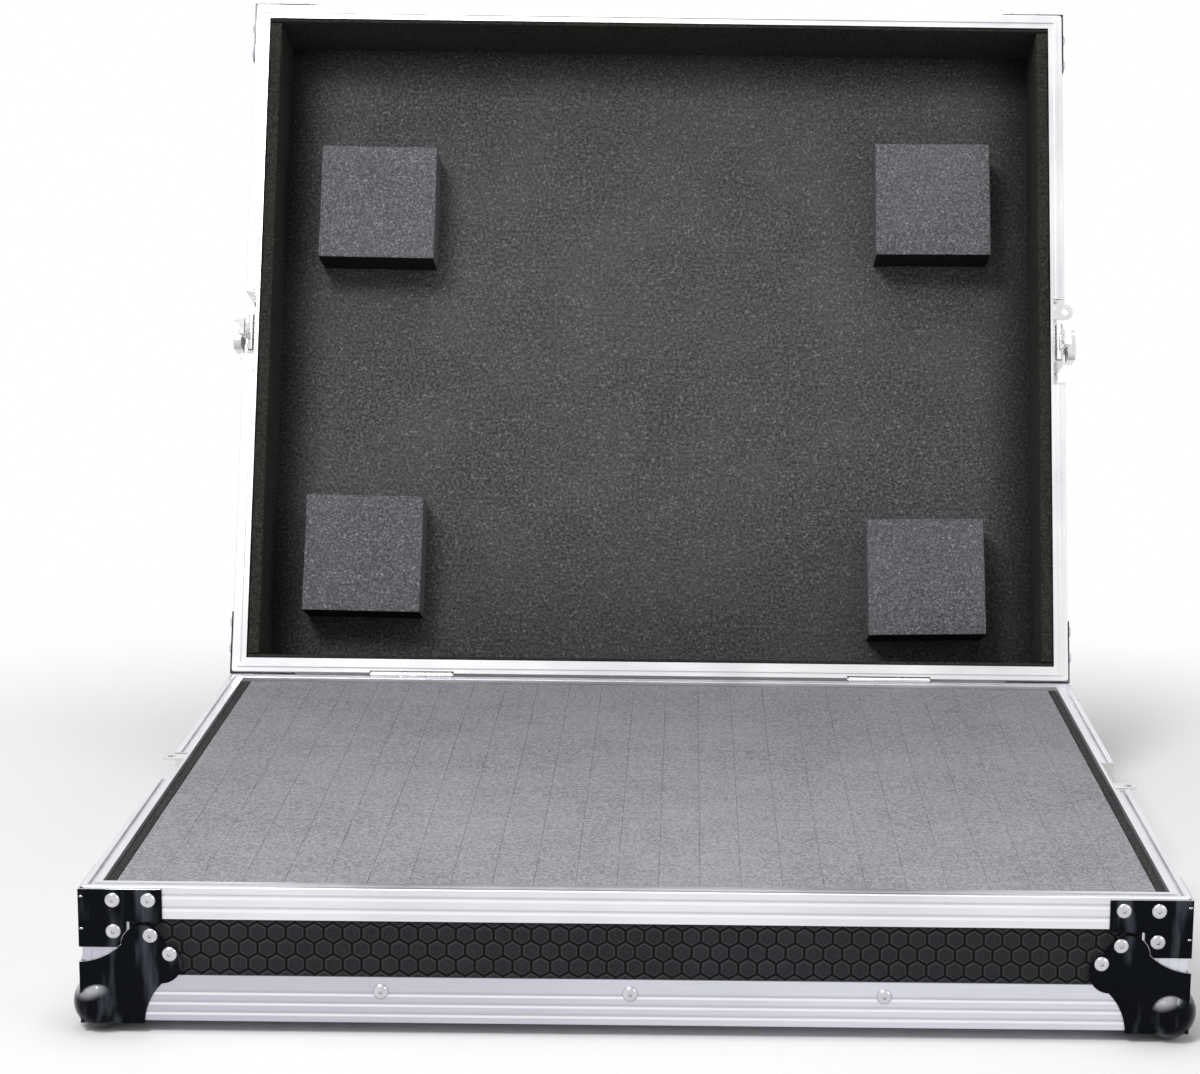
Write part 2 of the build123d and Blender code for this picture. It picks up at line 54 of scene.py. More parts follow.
class Signal:
    def __init__(self, sheet, socket):
        self.sheet = sheet
        self.socket = socket

    def math(self, operation, *others, clamp=False):
        settings = {"operation": operation, "use_clamp": clamp}
        return self.sheet.make("ShaderNodeMath", settings, [self, *others])

    def __add__(self, other): return self.math("ADD", other)
    def __radd__(self, other): return self.math("ADD", other)
    def __sub__(self, other): return self.math("SUBTRACT", other)
    def __rsub__(self, other): return self.sheet.make("ShaderNodeMath", {"operation": "SUBTRACT"}, [other, self])
    def __mul__(self, other): return self.math("MULTIPLY", other)
    def __mod__(self, other): return self.math("FLOORED_MODULO", other)
    def __abs__(self): return self.math("ABSOLUTE")
    def __lt__(self, other): return self.math("LESS_THAN", other)
    def __gt__(self, other): return self.math("GREATER_THAN", other)

    def ease(self, low, high, start=0.0, end=1.0):
        return self.sheet.make("ShaderNodeMapRange", {"interpolation_type": "SMOOTHSTEP"},
                               {"Value": self, "From Min": low, "From Max": high, "To Min": start, "To Max": end})


class Sheet:
    def __init__(self, name):
        self.material = bpy.data.materials.new(name)
        self.material.use_nodes = True
        self.tree = self.material.node_tree
        self.tree.nodes.clear()

    def make(self, kind, settings=None, values=(), output=0):
        node = self.tree.nodes.new(kind)
        for name, value in (settings or {}).items():
            setattr(node, name, value)
        pairs = values.items() if isinstance(values, dict) else enumerate(values)
        for key, value in pairs:
            if isinstance(value, Signal):
                self.tree.links.new(value.socket, node.inputs[key])
            else:
                node.inputs[key].default_value = value
        return Signal(self, node.outputs[output]) if len(node.outputs) else node

    def point(self, onLid=False):
        # the object's own place in millimetres, with the lid's points turned back as if it were shut
        where = self.make("ShaderNodeTexCoord", output="Object")
        if not onLid:
            return self.make("ShaderNodeMapping", {}, {"Vector": where, "Scale": millimetres})
        turn = math.radians(caseSize["opening"])
        shift = hingePoint - Matrix.Rotation(turn, 3, "X") @ hingePoint
        return self.make("ShaderNodeMapping", {}, {"Vector": where, "Scale": millimetres,
                                                   "Rotation": (turn, 0, 0), "Location": tuple(shift)})

    def facing(self, onLid=False):
        normal = self.make("ShaderNodeTexCoord", output="Normal")
        if not onLid:
            return normal
        turn = (math.radians(caseSize["opening"]), 0, 0)
        return self.make("ShaderNodeMapping", {}, {"Vector": normal, "Rotation": turn})

    def split(self, vector):
        node = self.make("ShaderNodeSeparateXYZ", {}, [vector]).socket.node
        return [Signal(self, node.outputs[i]) for i in range(3)]

    def join(self, x, y, z):
        return self.make("ShaderNodeCombineXYZ", {}, [x, y, z])

    def noise(self, vector, scale, detail=3.0, rough=0.55):
        values = {"Vector": vector, "Scale": scale, "Detail": detail, "Roughness": rough}
        return self.make("ShaderNodeTexNoise", {}, values)

    def cells(self, vector, scale):
        return self.make("ShaderNodeTexVoronoi", {}, {"Vector": vector, "Scale": scale})

    def tint(self, factor, low, high):
        node = self.tree.nodes.new("ShaderNodeMix")
        node.data_type = "RGBA"
        for name, value in (("factor", factor), ("low", low), ("high", high)):
            socket = node.inputs[mixSockets[name]]
            if isinstance(value, Signal):
                self.tree.links.new(value.socket, socket)
            else:
                socket.default_value = value if name == "factor" else (*value, 1)
        return Signal(self, node.outputs[mixSockets["result"]])

    def bump(self, height, strength, distance):
        return self.make("ShaderNodeBump", {}, {"Height": height, "Strength": strength, "Distance": distance})

    def finish(self, **sockets):
        names = {"color": "Base Color", "metal": "Metallic", "rough": "Roughness", "normal": "Normal",
                 "specular": "Specular IOR Level"}
        shader = self.make("ShaderNodeBsdfPrincipled", {}, {names[key]: value for key, value in sockets.items()})
        self.make("ShaderNodeOutputMaterial", {}, [shader])
        return self.material


cameraSet = {"place": (0.02625, -1.87728, 0.59265), "turn": (79.6594, -0.7901, -0.4340), "lens": 83.30,
             "sensor": 36, "shift": (-0.0939, -0.0011), "nearest": 0.05}
camera = bpy.data.objects.new("photoCamera", bpy.data.cameras.new("photoCamera"))
bpy.context.collection.objects.link(camera)
camera.location = cameraSet["place"]
camera.rotation_euler = [math.radians(a) for a in cameraSet["turn"]]
camera.data.lens = cameraSet["lens"]
camera.data.sensor_width = cameraSet["sensor"]
camera.data.shift_x, camera.data.shift_y = cameraSet["shift"]
camera.data.clip_start = cameraSet["nearest"]
scene = bpy.context.scene
scene.camera = camera
scene.view_settings.view_transform = "Standard"

# each lamp: its name, place, size in metres and power in watts
studioSet = {"world": 0.40, "backdrop": 1.0, "aim": (0, 0.1, 0.15),
             "lamps": [("keyLamp", (-0.9, -1.5, 2.4), 1.0, 46), ("fillLamp", (1.9, -1.4, 1.3), 1.2, 6),
                       ("topLamp", (0.1, 0.1, 2.8), 1.6, 20)]}


def makeWorld():
    # a white backdrop wherever it is seen or mirrored, and a weaker one where it lights matte surfaces
    world = bpy.data.worlds.new("studioWorld")
    scene.world = world
    world.use_nodes = True
    tree = world.node_tree
    tree.nodes.clear()
    paths = tree.nodes.new("ShaderNodeLightPath")
    seen = None
    for ray in ("Is Camera Ray", "Is Transmission Ray", "Is Glossy Ray"):
        either = tree.nodes.new("ShaderNodeMath")
        either.operation = "MAXIMUM"
        tree.links.new(paths.outputs[ray], either.inputs[0])
        if seen:
            tree.links.new(seen.outputs[0], either.inputs[1])
        else:
            either.inputs[1].default_value = 0
        seen = either
    level = tree.nodes.new("ShaderNodeMapRange")
    tree.links.new(seen.outputs[0], level.inputs["Value"])
    level.inputs["To Min"].default_value = studioSet["world"]
    level.inputs["To Max"].default_value = studioSet["backdrop"]
    glow = tree.nodes.new("ShaderNodeBackground")
    glow.inputs["Color"].default_value = (1, 1, 1, 1)
    tree.links.new(level.outputs[0], glow.inputs["Strength"])
    out = tree.nodes.new("ShaderNodeOutputWorld")
    tree.links.new(glow.outputs[0], out.inputs[0])


makeWorld()
for name, place, size, power in studioSet["lamps"]:
    lamp = bpy.data.objects.new(name, bpy.data.lights.new(name, "AREA"))
    lamp.data.shape = "DISK"
    lamp.data.size = size
    lamp.data.energy = power
    lamp.location = place
    lamp.rotation_euler = (Vector(studioSet["aim"]) - Vector(place)).to_track_quat("-Z", "Y").to_euler()
    bpy.context.collection.objects.link(lamp)


def clearSelection():
    bpy.ops.object.select_all(action="DESELECT")


def only(obj):
    clearSelection()
    obj.select_set(True)
    bpy.context.view_layer.objects.active = obj


def applyAll(obj):
    only(obj)
    for modifier in list(obj.modifiers):
        bpy.ops.object.modifier_apply(modifier=modifier.name)


def settle(obj, onLid=False):
    # scale to metres, swing with the lid, and leave the object at the origin
    only(obj)
    bpy.ops.object.transform_apply(location=True, rotation=True, scale=True)
    if onLid:
        obj.data.transform(lidSwing)
    obj.data.transform(Matrix.Scale(0.001, 4))
    obj.data.update()


def joinAll(parts, name):
    clearSelection()
    for part in parts:
        part.select_set(True)
    bpy.context.view_layer.objects.active = parts[0]
    if len(parts) > 1:
        bpy.ops.object.join()
    parts[0].name = name
    parts[0].data.name = name
    return parts[0]


def paint(obj, material):
    obj.data.materials.clear()
    obj.data.materials.append(material)


laminateSet = {"pitch": 11.35, "phase": (273.3, -54.9), "groove": 0.62, "grooveSoft": (-0.35, 0.25),
               "dome": (2.6, 0.5), "highlightRise": (1.9, 1.2), "highlightFall": (1.1, 0.7), "highlightShare": 0.6, "squareOn": 0.7,
               "grain": (2.6, 4, 0.7), "speck": 1.9, "rub": (0.02, 3), "rubShare": 0.25,
               "pad": (0.010, 0.0095, 0.011), "worn": (0.046, 0.042, 0.050), "edge": (0.075, 0.072, 0.082),
               "seam": (0.0008, 0.0008, 0.0008), "rough": (0.48, 0.66), "specular": 0.14,
               "padRise": 1.3, "domeRise": 0.7, "grainRise": 0.30, "speckRise": 0.18, "bump": (1.0, 0.0012)}


def hexEdge(u, v, pitch):
    # the distance from the nearest hexagon's middle, measured so that it is level along the hexagon's sides
    tall = pitch * math.sqrt(3)

    def lattice(du, dv):
        x = abs((u + du) % pitch - pitch / 2)
        y = abs((v + dv) % tall - tall / 2)
        return x.math("MAXIMUM", x * 0.5 + y * (math.sqrt(3) / 2))

    return lattice(0, 0).math("MINIMUM", lattice(pitch / 2, tall / 2))


def makeLaminate(name, onLid):
    # hexagons pressed into each face, laid out on the two axes that the face spans
    sheet = Sheet(name)
    place = sheet.point(onLid)
    x, y, z = sheet.split(place)
    nx, _, nz = sheet.split(sheet.facing(onLid))
    u = x + (abs(nx) > laminateSet["squareOn"]) * (y - x)
    v = z + (abs(nz) > laminateSet["squareOn"]) * (y - z)
    pitch = laminateSet["pitch"]
    half = pitch / 2
    startU, startV = laminateSet["phase"]
    away = hexEdge(u + startU + half, v + startV + pitch * math.sqrt(3) / 2, pitch)
    grooveFrom, grooveTo = [half - laminateSet["groove"] + soft for soft in laminateSet["grooveSoft"]]
    seam = away.ease(grooveFrom, grooveTo)
    domeFrom, domeTo = [half - reach for reach in laminateSet["dome"]]
    dome = away.ease(domeFrom, domeTo, 1.0, 0.0)
    # painted highlight: a lighter band just inside each hexagon's seam, in the colour only, where the pads' edges
    # would catch the light
    riseFrom, riseTo = [half - reach for reach in laminateSet["highlightRise"]]
    fallFrom, fallTo = [half - reach for reach in laminateSet["highlightFall"]]
    paintedPadHighlight = away.ease(riseFrom, riseTo) * away.ease(fallFrom, fallTo, 1.0, 0.0)
    grain = sheet.noise(place, *laminateSet["grain"])
    speck = sheet.cells(place, laminateSet["speck"])
    rub = sheet.noise(place, *laminateSet["rub"]).ease(0.45, 0.75)
    tone = sheet.tint(grain.ease(0.40, 0.70), laminateSet["pad"], laminateSet["worn"])
    tone = sheet.tint(rub * laminateSet["rubShare"], tone, laminateSet["worn"])
    # the painted highlight along each seam, in the edge tone
    tone = sheet.tint(paintedPadHighlight * laminateSet["highlightShare"], tone, laminateSet["edge"])
    tone = sheet.tint(seam, tone, laminateSet["seam"])
    relief = ((1 - seam) * laminateSet["padRise"] + dome * laminateSet["domeRise"]
              + grain * laminateSet["grainRise"] + speck * laminateSet["speckRise"])
    return sheet.finish(color=tone, rough=grain.ease(0.3, 0.7, *laminateSet["rough"]),
                        specular=laminateSet["specular"], normal=sheet.bump(relief, *laminateSet["bump"]))


# streaks: scale along the bar, scale across it, detail and roughness of the noise
# rim and edging: the pressed lines' heights, then where each one's painted shade and painted highlight lie and how
# wide they are
barSet = {"lines": (0.012, 3.2, 3, 0.6), "fine": (0.05, 11, 2, 0.5), "scuff": (0.10, 0.9, 5, 0.75),
          "cloud": (0.011, 3), "leftToRight": (-230, 190), "lineTone": 0.74, "lineShare": 0.30,
          "scuffTone": 0.66, "scuffShare": 0.25, "upright": 0.5, "metal": 0.85, "bump": (0.25, 0.00012),
          "rim": {"lines": (5.2, 13.0), "shade": (-0.3, 1.3), "bright": (1.7, 1.6)},
          "edging": {"lines": (6.3, 12.6, 19.0), "shade": (0.3, 1.3), "bright": (-1.5, 1.4)},
          "shadeTone": (0.46, 0.46, 0.50), "shadeShare": 0.62,
          "brightTone": (0.97, 0.97, 0.98), "brightShare": 0.80}


def barAxes(sheet, place):
    # the coordinate that runs along whichever side's bar this point lies on, then the two across it
    x, y, z = sheet.split(place)
    onSide = (halfWidth - abs(x)) < (halfDepth - abs(y))
    return x + onSide * (y - x), y + onSide * (x - y), z


def streaks(sheet, axes, along, across, detail, rough):
    run, out, up = axes
    return sheet.noise(sheet.join(run * along, out * across, up * across), 1.0, detail, rough)


def pulses(height, part, kind):
    # one soft-edged stripe beside each of the part's pressed lines
    shift, wide = part[kind]
    return sum((abs(height - (line + shift)).ease(0.0, wide, 1.0, 0.0) for line in part["lines"]), 0)


def makeAluminium(name, onLid, low, high, sideShadeWeight=0.0):
    # a drawn bar: fine lines along it, and each pressed line with painted shade above and a painted highlight
    # below, where it would catch the light
    sheet = Sheet(name)
    place = sheet.point(onLid)
    axes = barAxes(sheet, place)
    lines = streaks(sheet, axes, *barSet["lines"])
    fine = streaks(sheet, axes, *barSet["fine"])
    scuff = streaks(sheet, axes, *barSet["scuff"]).ease(0.62, 0.78)
    cloud = sheet.noise(place, *barSet["cloud"])
    # painted shade along the bar: darker towards the left and lighter towards the right, used on the base's edging
    paintedSideShade = sheet.split(place)[0].ease(*barSet["leftToRight"])
    tone = sheet.tint(paintedSideShade * sideShadeWeight + cloud.ease(0.3, 0.7) * (1 - sideShadeWeight), low, high)
    lineTone, scuffTone = [tuple(c * barSet[kind + "Tone"] for c in low) for kind in ("line", "scuff")]
    tone = sheet.tint(lines.ease(0.3, 0.75) * barSet["lineShare"], tone, lineTone)
    tone = sheet.tint(scuff * barSet["scuffShare"], tone, scuffTone)
    sign = 1 if onLid else -1
    up = axes[2]
    rimHeight = (up - (caseSize["lidFace"] if onLid else caseSize["rimTop"])) * sign
    edgeHeight = (up - (caseSize["lidEdgingTop"] if onLid else caseSize["edgingUnderside"])) * -sign
    upright = abs(sheet.split(sheet.facing(onLid))[2]) < barSet["upright"]
    # painted shade and painted highlight beside each pressed line, on upright faces only
    for kind in ("shade", "bright"):
        stripes = pulses(rimHeight, barSet["rim"], kind) + pulses(edgeHeight, barSet["edging"], kind)
        share = (stripes * upright).math("MULTIPLY", barSet[kind + "Share"], clamp=True)
        tone = sheet.tint(share, tone, barSet[kind + "Tone"])
    rough = cloud.ease(0.3, 0.7, 0.27, 0.37) + fine * 0.08 + scuff * 0.12
    return sheet.finish(color=tone, metal=barSet["metal"], rough=rough,
                        normal=sheet.bump(lines * 0.7 + fine * 0.4, *barSet["bump"]))


metalSet = {"cloudNoise": (4, 0.6), "smearNoise": (4, 0.7), "smearFiner": 9, "nick": (0.9, 2, 0.5),
            "nickFrom": 0.70, "nickTo": 0.78, "nickTone": 0.55, "nickShare": 0.25, "nickRough": 0.1,
            "nickRise": 0.3, "depth": 0.0003}


def makeMetal(name, dark, light, rough, mottle=0.02, onLid=False, bump=0.05, metal=1.0):
    sheet = Sheet(name)
    place = sheet.point(onLid)
    cloud = sheet.noise(place, mottle, *metalSet["cloudNoise"])
    smear = sheet.noise(place, mottle * metalSet["smearFiner"], *metalSet["smearNoise"])
    nick = sheet.noise(place, *metalSet["nick"]).ease(metalSet["nickFrom"], metalSet["nickTo"])
    tone = sheet.tint(cloud.ease(0.3, 0.7), dark, light)
    tone = sheet.tint(nick * metalSet["nickShare"], tone, tuple(c * metalSet["nickTone"] for c in light))
    gloss = smear.ease(0.35, 0.8, *rough) + nick * metalSet["nickRough"]
    return sheet.finish(color=tone, metal=metal, rough=gloss,
                        normal=sheet.bump(smear + nick * metalSet["nickRise"], bump, metalSet["depth"]))


chromeSet = {"light": (-0.30, -0.35, 0.89), "lightFrom": 0.60, "lightTo": 0.96, "floorFrom": 0.55, "floorTo": 0.95,
             "floorShare": 0.30, "streakScale": (0.10, 0.10, 0.018), "streakTone": (0.055, 0.060, 0.075),
             "smear": (0.22, 4, 0.7), "rough": (0.05, 0.14), "bump": (0.05, 0.0003)}


def makeChrome(name, body, glint):
    # mirror-finish chrome, near-black where it faces the room, with a painted highlight where it faces the light
    # above and a painted reflection where it faces the pale floor
    sheet = Sheet(name)
    place = sheet.point()
    nx, ny, nz = sheet.split(sheet.facing())
    lightX, lightY, lightZ = chromeSet["light"]
    paintedGlint = (nx * lightX + ny * lightY + nz * lightZ).ease(chromeSet["lightFrom"], chromeSet["lightTo"])
    paintedFloorReflection = (nz * -1).ease(chromeSet["floorFrom"], chromeSet["floorTo"]) * chromeSet["floorShare"]
    drawn = sheet.make("ShaderNodeMapping", {}, {"Vector": place, "Scale": chromeSet["streakScale"]})
    streak = sheet.noise(drawn, 1.0, 3, 0.5)
    smear = sheet.noise(place, *chromeSet["smear"])
    tone = sheet.tint(streak.ease(0.50, 0.72), body, chromeSet["streakTone"])
    # painted highlight towards the light above and painted reflection of the floor below, by the way each face
    # points
    tone = sheet.tint(paintedGlint, tone, glint)
    tone = sheet.tint(paintedFloorReflection, tone, glint)
    return sheet.finish(color=tone, metal=1.0, rough=smear.ease(0.35, 0.8, *chromeSet["rough"]),
                        normal=sheet.bump(smear, *chromeSet["bump"]))


# side, front and hinge: how far the shade reaches from each of the lid's walls, and the light left beside it
foamSet = {"fine": (2, 0.6), "poreScale": 1.25, "broad": (0.012, 3), "broadTone": 1.2, "broadShare": 0.25,
           "speckScale": 1.3, "speckNoise": (1, 0.4), "speckShare": 0.8, "rowAlong": 0.02, "rowAcross": 0.55,
           "rowTone": 0.6, "rough": 0.95, "specular": 0.15, "fineRise": 0.8, "poreRise": 0.5,
           "bump": (0.75, 0.0009),
           "sideWall": 10, "side": (-6, 50, 0.24, 1.0), "front": (0, 22, 0.45, 1.0), "hinge": (0, 150, 0.70, 1.0),
           "shadeTone": (0.004, 0.004, 0.004), "towardsRear": (-230, 250, 0.0, 0.23),
           "facingDown": (0.5, 0.9), "downShare": 0.96, "downTone": (0.002, 0.002, 0.002)}


def makeFoam(name, dark, light, speckTone, onLid=False, grain=0.9, ribs=0.0, shade=None):
    # shade names where the light doesn't reach: beside the walls, towards the rear, or on the underside
    sheet = Sheet(name)
    place = sheet.point(onLid)
    x, y, z = sheet.split(place)
    fine = sheet.noise(place, grain, *foamSet["fine"])
    pores = sheet.cells(place, grain * foamSet["poreScale"])
    broad = sheet.noise(place, *foamSet["broad"])
    speck = sheet.noise(place, grain * foamSet["speckScale"], *foamSet["speckNoise"]).ease(0.62, 0.72)
    along, across = foamSet["rowAlong"], foamSet["rowAcross"]
    rows = sheet.noise(sheet.join(x * along, y * across, z * along), 1.0, 2)
    tone = sheet.tint(fine.ease(0.36, 0.64), dark, light)
    paler = tuple(c * foamSet["broadTone"] for c in light)
    tone = sheet.tint(broad.ease(0.3, 0.7) * foamSet["broadShare"], tone, paler)
    tone = sheet.tint(rows.ease(0.4, 0.65) * ribs, tone, tuple(c * foamSet["rowTone"] for c in dark))
    tone = sheet.tint(speck * foamSet["speckShare"], tone, speckTone)
    if shade == "walls":
        bySide = (insideSize["x"] - foamSet["sideWall"] - abs(x)).ease(*foamSet["side"])
        byFront = (y + insideSize["y"]).ease(*foamSet["front"])
        byHinge = (insideSize["y"] - y).ease(*foamSet["hinge"])
        tone = sheet.tint(1 - bySide * byFront * byHinge, tone, foamSet["shadeTone"])
    if shade == "rear":
        tone = sheet.tint(y.ease(*foamSet["towardsRear"]), tone, foamSet["shadeTone"])
    if shade == "underside":
        under = sheet.split(sheet.facing(onLid))[1].ease(*foamSet["facingDown"])
        tone = sheet.tint(under * foamSet["downShare"], tone, foamSet["downTone"])
    relief = fine * foamSet["fineRise"] + pores * foamSet["poreRise"] + rows * ribs
    return sheet.finish(color=tone, rough=foamSet["rough"], specular=foamSet["specular"],
                        normal=sheet.bump(relief, *foamSet["bump"]))


baseLaminate = makeLaminate("honeycombLaminateBase", False)
lidLaminate = makeLaminate("honeycombLaminateLid", True)
# the lid's bars and the base's edging take darker tones than the base's rim: painted shade on one anodised
# aluminium
baseRimBar = makeAluminium("anodisedRimBase", False, (0.76, 0.76, 0.80), (0.84, 0.84, 0.88))
baseEdgingBar = makeAluminium("anodisedEdgingBase", False, (0.54, 0.54, 0.61), (0.73, 0.735, 0.80), sideShadeWeight=0.85)
lidAluminium = makeAluminium("anodisedBarLid", True, (0.68, 0.68, 0.70), (0.76, 0.76, 0.775))
darkChrome = makeChrome("darkChrome", (0.006, 0.007, 0.009), (0.62, 0.63, 0.67))
ribChrome = makeMetal("ribChrome", (0.30, 0.30, 0.31), (0.50, 0.50, 0.52), (0.08, 0.16))
zincPlate = makeMetal("brightZinc", (0.60, 0.60, 0.60), (0.78, 0.78, 0.79), (0.18, 0.34), mottle=0.03)
polishedRivet = makeMetal("polishedRivet", (0.50, 0.50, 0.53), (0.66, 0.66, 0.69), (0.12, 0.22), mottle=0.05)
steelPin = makeMetal("steelPin", (0.42, 0.42, 0.43), (0.58, 0.58, 0.59), (0.2, 0.35), mottle=0.05)
lidFoam = makeFoam("charcoalFoamLid", (0.042, 0.042, 0.043), (0.114, 0.114, 0.118), (0.22, 0.22, 0.22),
                   onLid=True, grain=0.42, ribs=0.12, shade="walls")
lidLiningFoam = makeFoam("darkFoamLid", (0.012, 0.012, 0.011), (0.034, 0.035, 0.030), (0.07, 0.07, 0.06),
                         onLid=True, grain=0.5)
liningFoam = makeFoam("charcoalFoamBase", (0.020, 0.020, 0.019), (0.050, 0.050, 0.048), (0.12, 0.12, 0.12),
                      grain=0.5)
blockFoam = makeFoam("greyFoamBlock", (0.070, 0.069, 0.075), (0.156, 0.154, 0.166), (0.34, 0.34, 0.36),
                     onLid=True, grain=0.5, shade="underside")
pluckGrey = makeFoam("pluckFoamGrey", (0.200, 0.198, 0.214), (0.360, 0.356, 0.384), (0.56, 0.56, 0.59),
                     grain=0.55, shade="rear")
gripRubber = makeMetal("gripRubber", (0.018, 0.018, 0.018), (0.03, 0.03, 0.03), (0.45, 0.6), mottle=0.05,
                       onLid=True, bump=0.1, metal=0.0)
print("materials made")


def finishFor(node):
    if "wall" in node or "panel" in node:
        return lidLaminate if node.startswith("lid") else baseLaminate
    if "rim" in node or "edging" in node:
        return lidAluminium if node.startswith("lid") else baseRimBar if "rim" in node else baseEdgingBar
    if "ball" in node or "braces" in node:
        return darkChrome
    if "pins" in node:
        return steelPin
    if "grip" in node:
        return gripRubber
    return zincPlate


for node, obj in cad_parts.items():
    paint(obj, finishFor(node))
print("carried-over parts finished")

# these lengths are in metres, as the frame's meshes are
softEdge = {"merge": 0.00002, "flat": 0.5, "width": 0.00035, "segments": 2, "angle": 35, "smooth": 50}


def bevelledCopy(node, name, body):
    # the fitting's own mesh, merged and with its edges rounded, so that they catch the light
    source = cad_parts[node]
    piece = bpy.data.objects.new(name, source.data.copy())
    bpy.context.collection.objects.link(piece)
    piece.data.transform(source.matrix_world)
    only(piece)
    bpy.ops.object.mode_set(mode="EDIT")
    bpy.ops.mesh.select_all(action="SELECT")
    bpy.ops.mesh.remove_doubles(threshold=softEdge["merge"])
    bpy.ops.mesh.dissolve_limited(angle_limit=math.radians(softEdge["flat"]))
    bpy.ops.object.mode_set(mode="OBJECT")
    bevel = piece.modifiers.new("softEdge", "BEVEL")
    bevel.width = softEdge["width"]
    bevel.segments = softEdge["segments"]
    bevel.limit_method = "ANGLE"
    bevel.angle_limit = math.radians(softEdge["angle"])
    applyAll(piece)
    bpy.ops.object.shade_smooth_by_angle(angle=math.radians(softEdge["smooth"]))
    paint(piece, darkChrome)
    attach(piece, body)
    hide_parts(node)


for body in ("base", "lid"):
    bevelledCopy(body + "_ball_corners", body + "BallCorners", body)
    bevelledCopy(body + "_braces", body + "CornerBraces", body)

ribSet = {"fromRim": (6.0, 26.0), "radii": (2.3, 2.3, 1.2), "inset": 0.6, "segments": 20, "rings": 12}


def makeRibs(name, edge, upward, onLid, body):
    # two short ribs pressed into each brace, across its bend
    ribs = []
    x, y = halfWidth - ribSet["inset"], halfDepth - ribSet["inset"]
    for sx in (-1, 1):
        for sy in (-1, 1):
            for step in ribSet["fromRim"]:
                clearSelection()
                bpy.ops.mesh.primitive_uv_sphere_add(segments=ribSet["segments"], ring_count=ribSet["rings"],
                                                     radius=1, location=(sx * x, sy * y, edge + upward * step))
                rib = bpy.context.object
                rib.scale = ribSet["radii"]
                bpy.ops.object.transform_apply(location=True, rotation=True, scale=True)
                bpy.ops.object.shade_smooth()
                ribs.append(rib)
    group = joinAll(ribs, name)
    settle(group, onLid)
    paint(group, ribChrome)
    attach(group, body)


makeRibs("baseBraceRibs", caseSize["rimTop"], -1, False, "base")
makeRibs("lidBraceRibs", caseSize["lidFace"], 1, True, "lid")
print("chromed fittings finished")

pluckSet = {"low": (-315.0, -263.5, 19.1), "high": (315.0, 263.5, 81.0), "cubes": (25, 21), "cut": 0.14,
            "cutDepth": 0.55, "uneven": 0.10, "drift": 0.06, "edgeDrop": 0.6, "upperStep": 20, "near": 0.01,
            "smooth": 35}


def makePluckFoam():
    # a grid of cubes with a fine cut round each, their tops a little uneven, pulled down into a closed block
    low, high = pluckSet["low"], pluckSet["high"]
    across, deep = pluckSet["cubes"]
    near = pluckSet["near"]
    clearSelection()
    bpy.ops.mesh.primitive_grid_add(x_subdivisions=across, y_subdivisions=deep, size=1, location=(0, 0, high[2]))
    foam = bpy.context.object
    foam.scale = (high[0] - low[0], high[1] - low[1], 1)
    bpy.ops.object.transform_apply(location=True, rotation=True, scale=True)
    bpy.ops.object.mode_set(mode="EDIT")
    bpy.ops.mesh.select_mode(type="FACE")
    bpy.ops.mesh.select_all(action="SELECT")
    bpy.ops.mesh.inset(thickness=pluckSet["cut"], use_individual=True, depth=0)
    bpy.ops.object.vertex_group_add()
    bpy.context.object.vertex_groups[-1].name = "cubeTops"
    bpy.ops.object.vertex_group_assign()
    bpy.ops.mesh.select_all(action="INVERT")
    bpy.ops.object.mode_set(mode="OBJECT")
    group = foam.vertex_groups["cubeTops"].index
    tops = {v.index for v in foam.data.vertices if any(g.group == group for g in v.groups)}
    lifts = {}
    for v in foam.data.vertices:
        inside = all(low[i] + near < v.co[i] < high[i] - near for i in (0, 1))
        if v.index in tops:
            column = round((v.co.x - low[0]) / (high[0] - low[0]) * across - 0.5)
            row = round((v.co.y - low[1]) / (high[1] - low[1]) * deep - 0.5)
            drawn = (random.uniform(-1, 0), random.uniform(-1, 1), random.uniform(-1, 1))
            lift = lifts.setdefault((column, row), drawn)
            v.co.z += pluckSet["uneven"] * lift[0]
            v.co.x += pluckSet["drift"] * lift[1]
            v.co.y += pluckSet["drift"] * lift[2]
        else:
            v.co.z -= pluckSet["cutDepth"] if inside else pluckSet["edgeDrop"]
    bpy.ops.object.mode_set(mode="EDIT")
    bpy.ops.mesh.select_all(action="SELECT")
    bpy.ops.mesh.region_to_loop()
    rest = low[2] - high[2] + pluckSet["upperStep"] + pluckSet["edgeDrop"]
    for drop in (-pluckSet["upperStep"], rest):
        bpy.ops.mesh.extrude_region_move(TRANSFORM_OT_translate={"value": (0, 0, drop)})
    bpy.ops.mesh.edge_face_add()
    bpy.ops.mesh.select_all(action="SELECT")
    bpy.ops.mesh.normals_make_consistent(inside=False)
    bpy.ops.object.mode_set(mode="OBJECT")
    only(foam)
    bpy.ops.object.shade_smooth_by_angle(angle=math.radians(pluckSet["smooth"]))
    foam.name = foam.data.name = "pluckFoamSlab"
    settle(foam)
    return foam


slabSet = {"segments": 3, "lumpDepth": 2, "middle": 0.72, "smooth": 50}


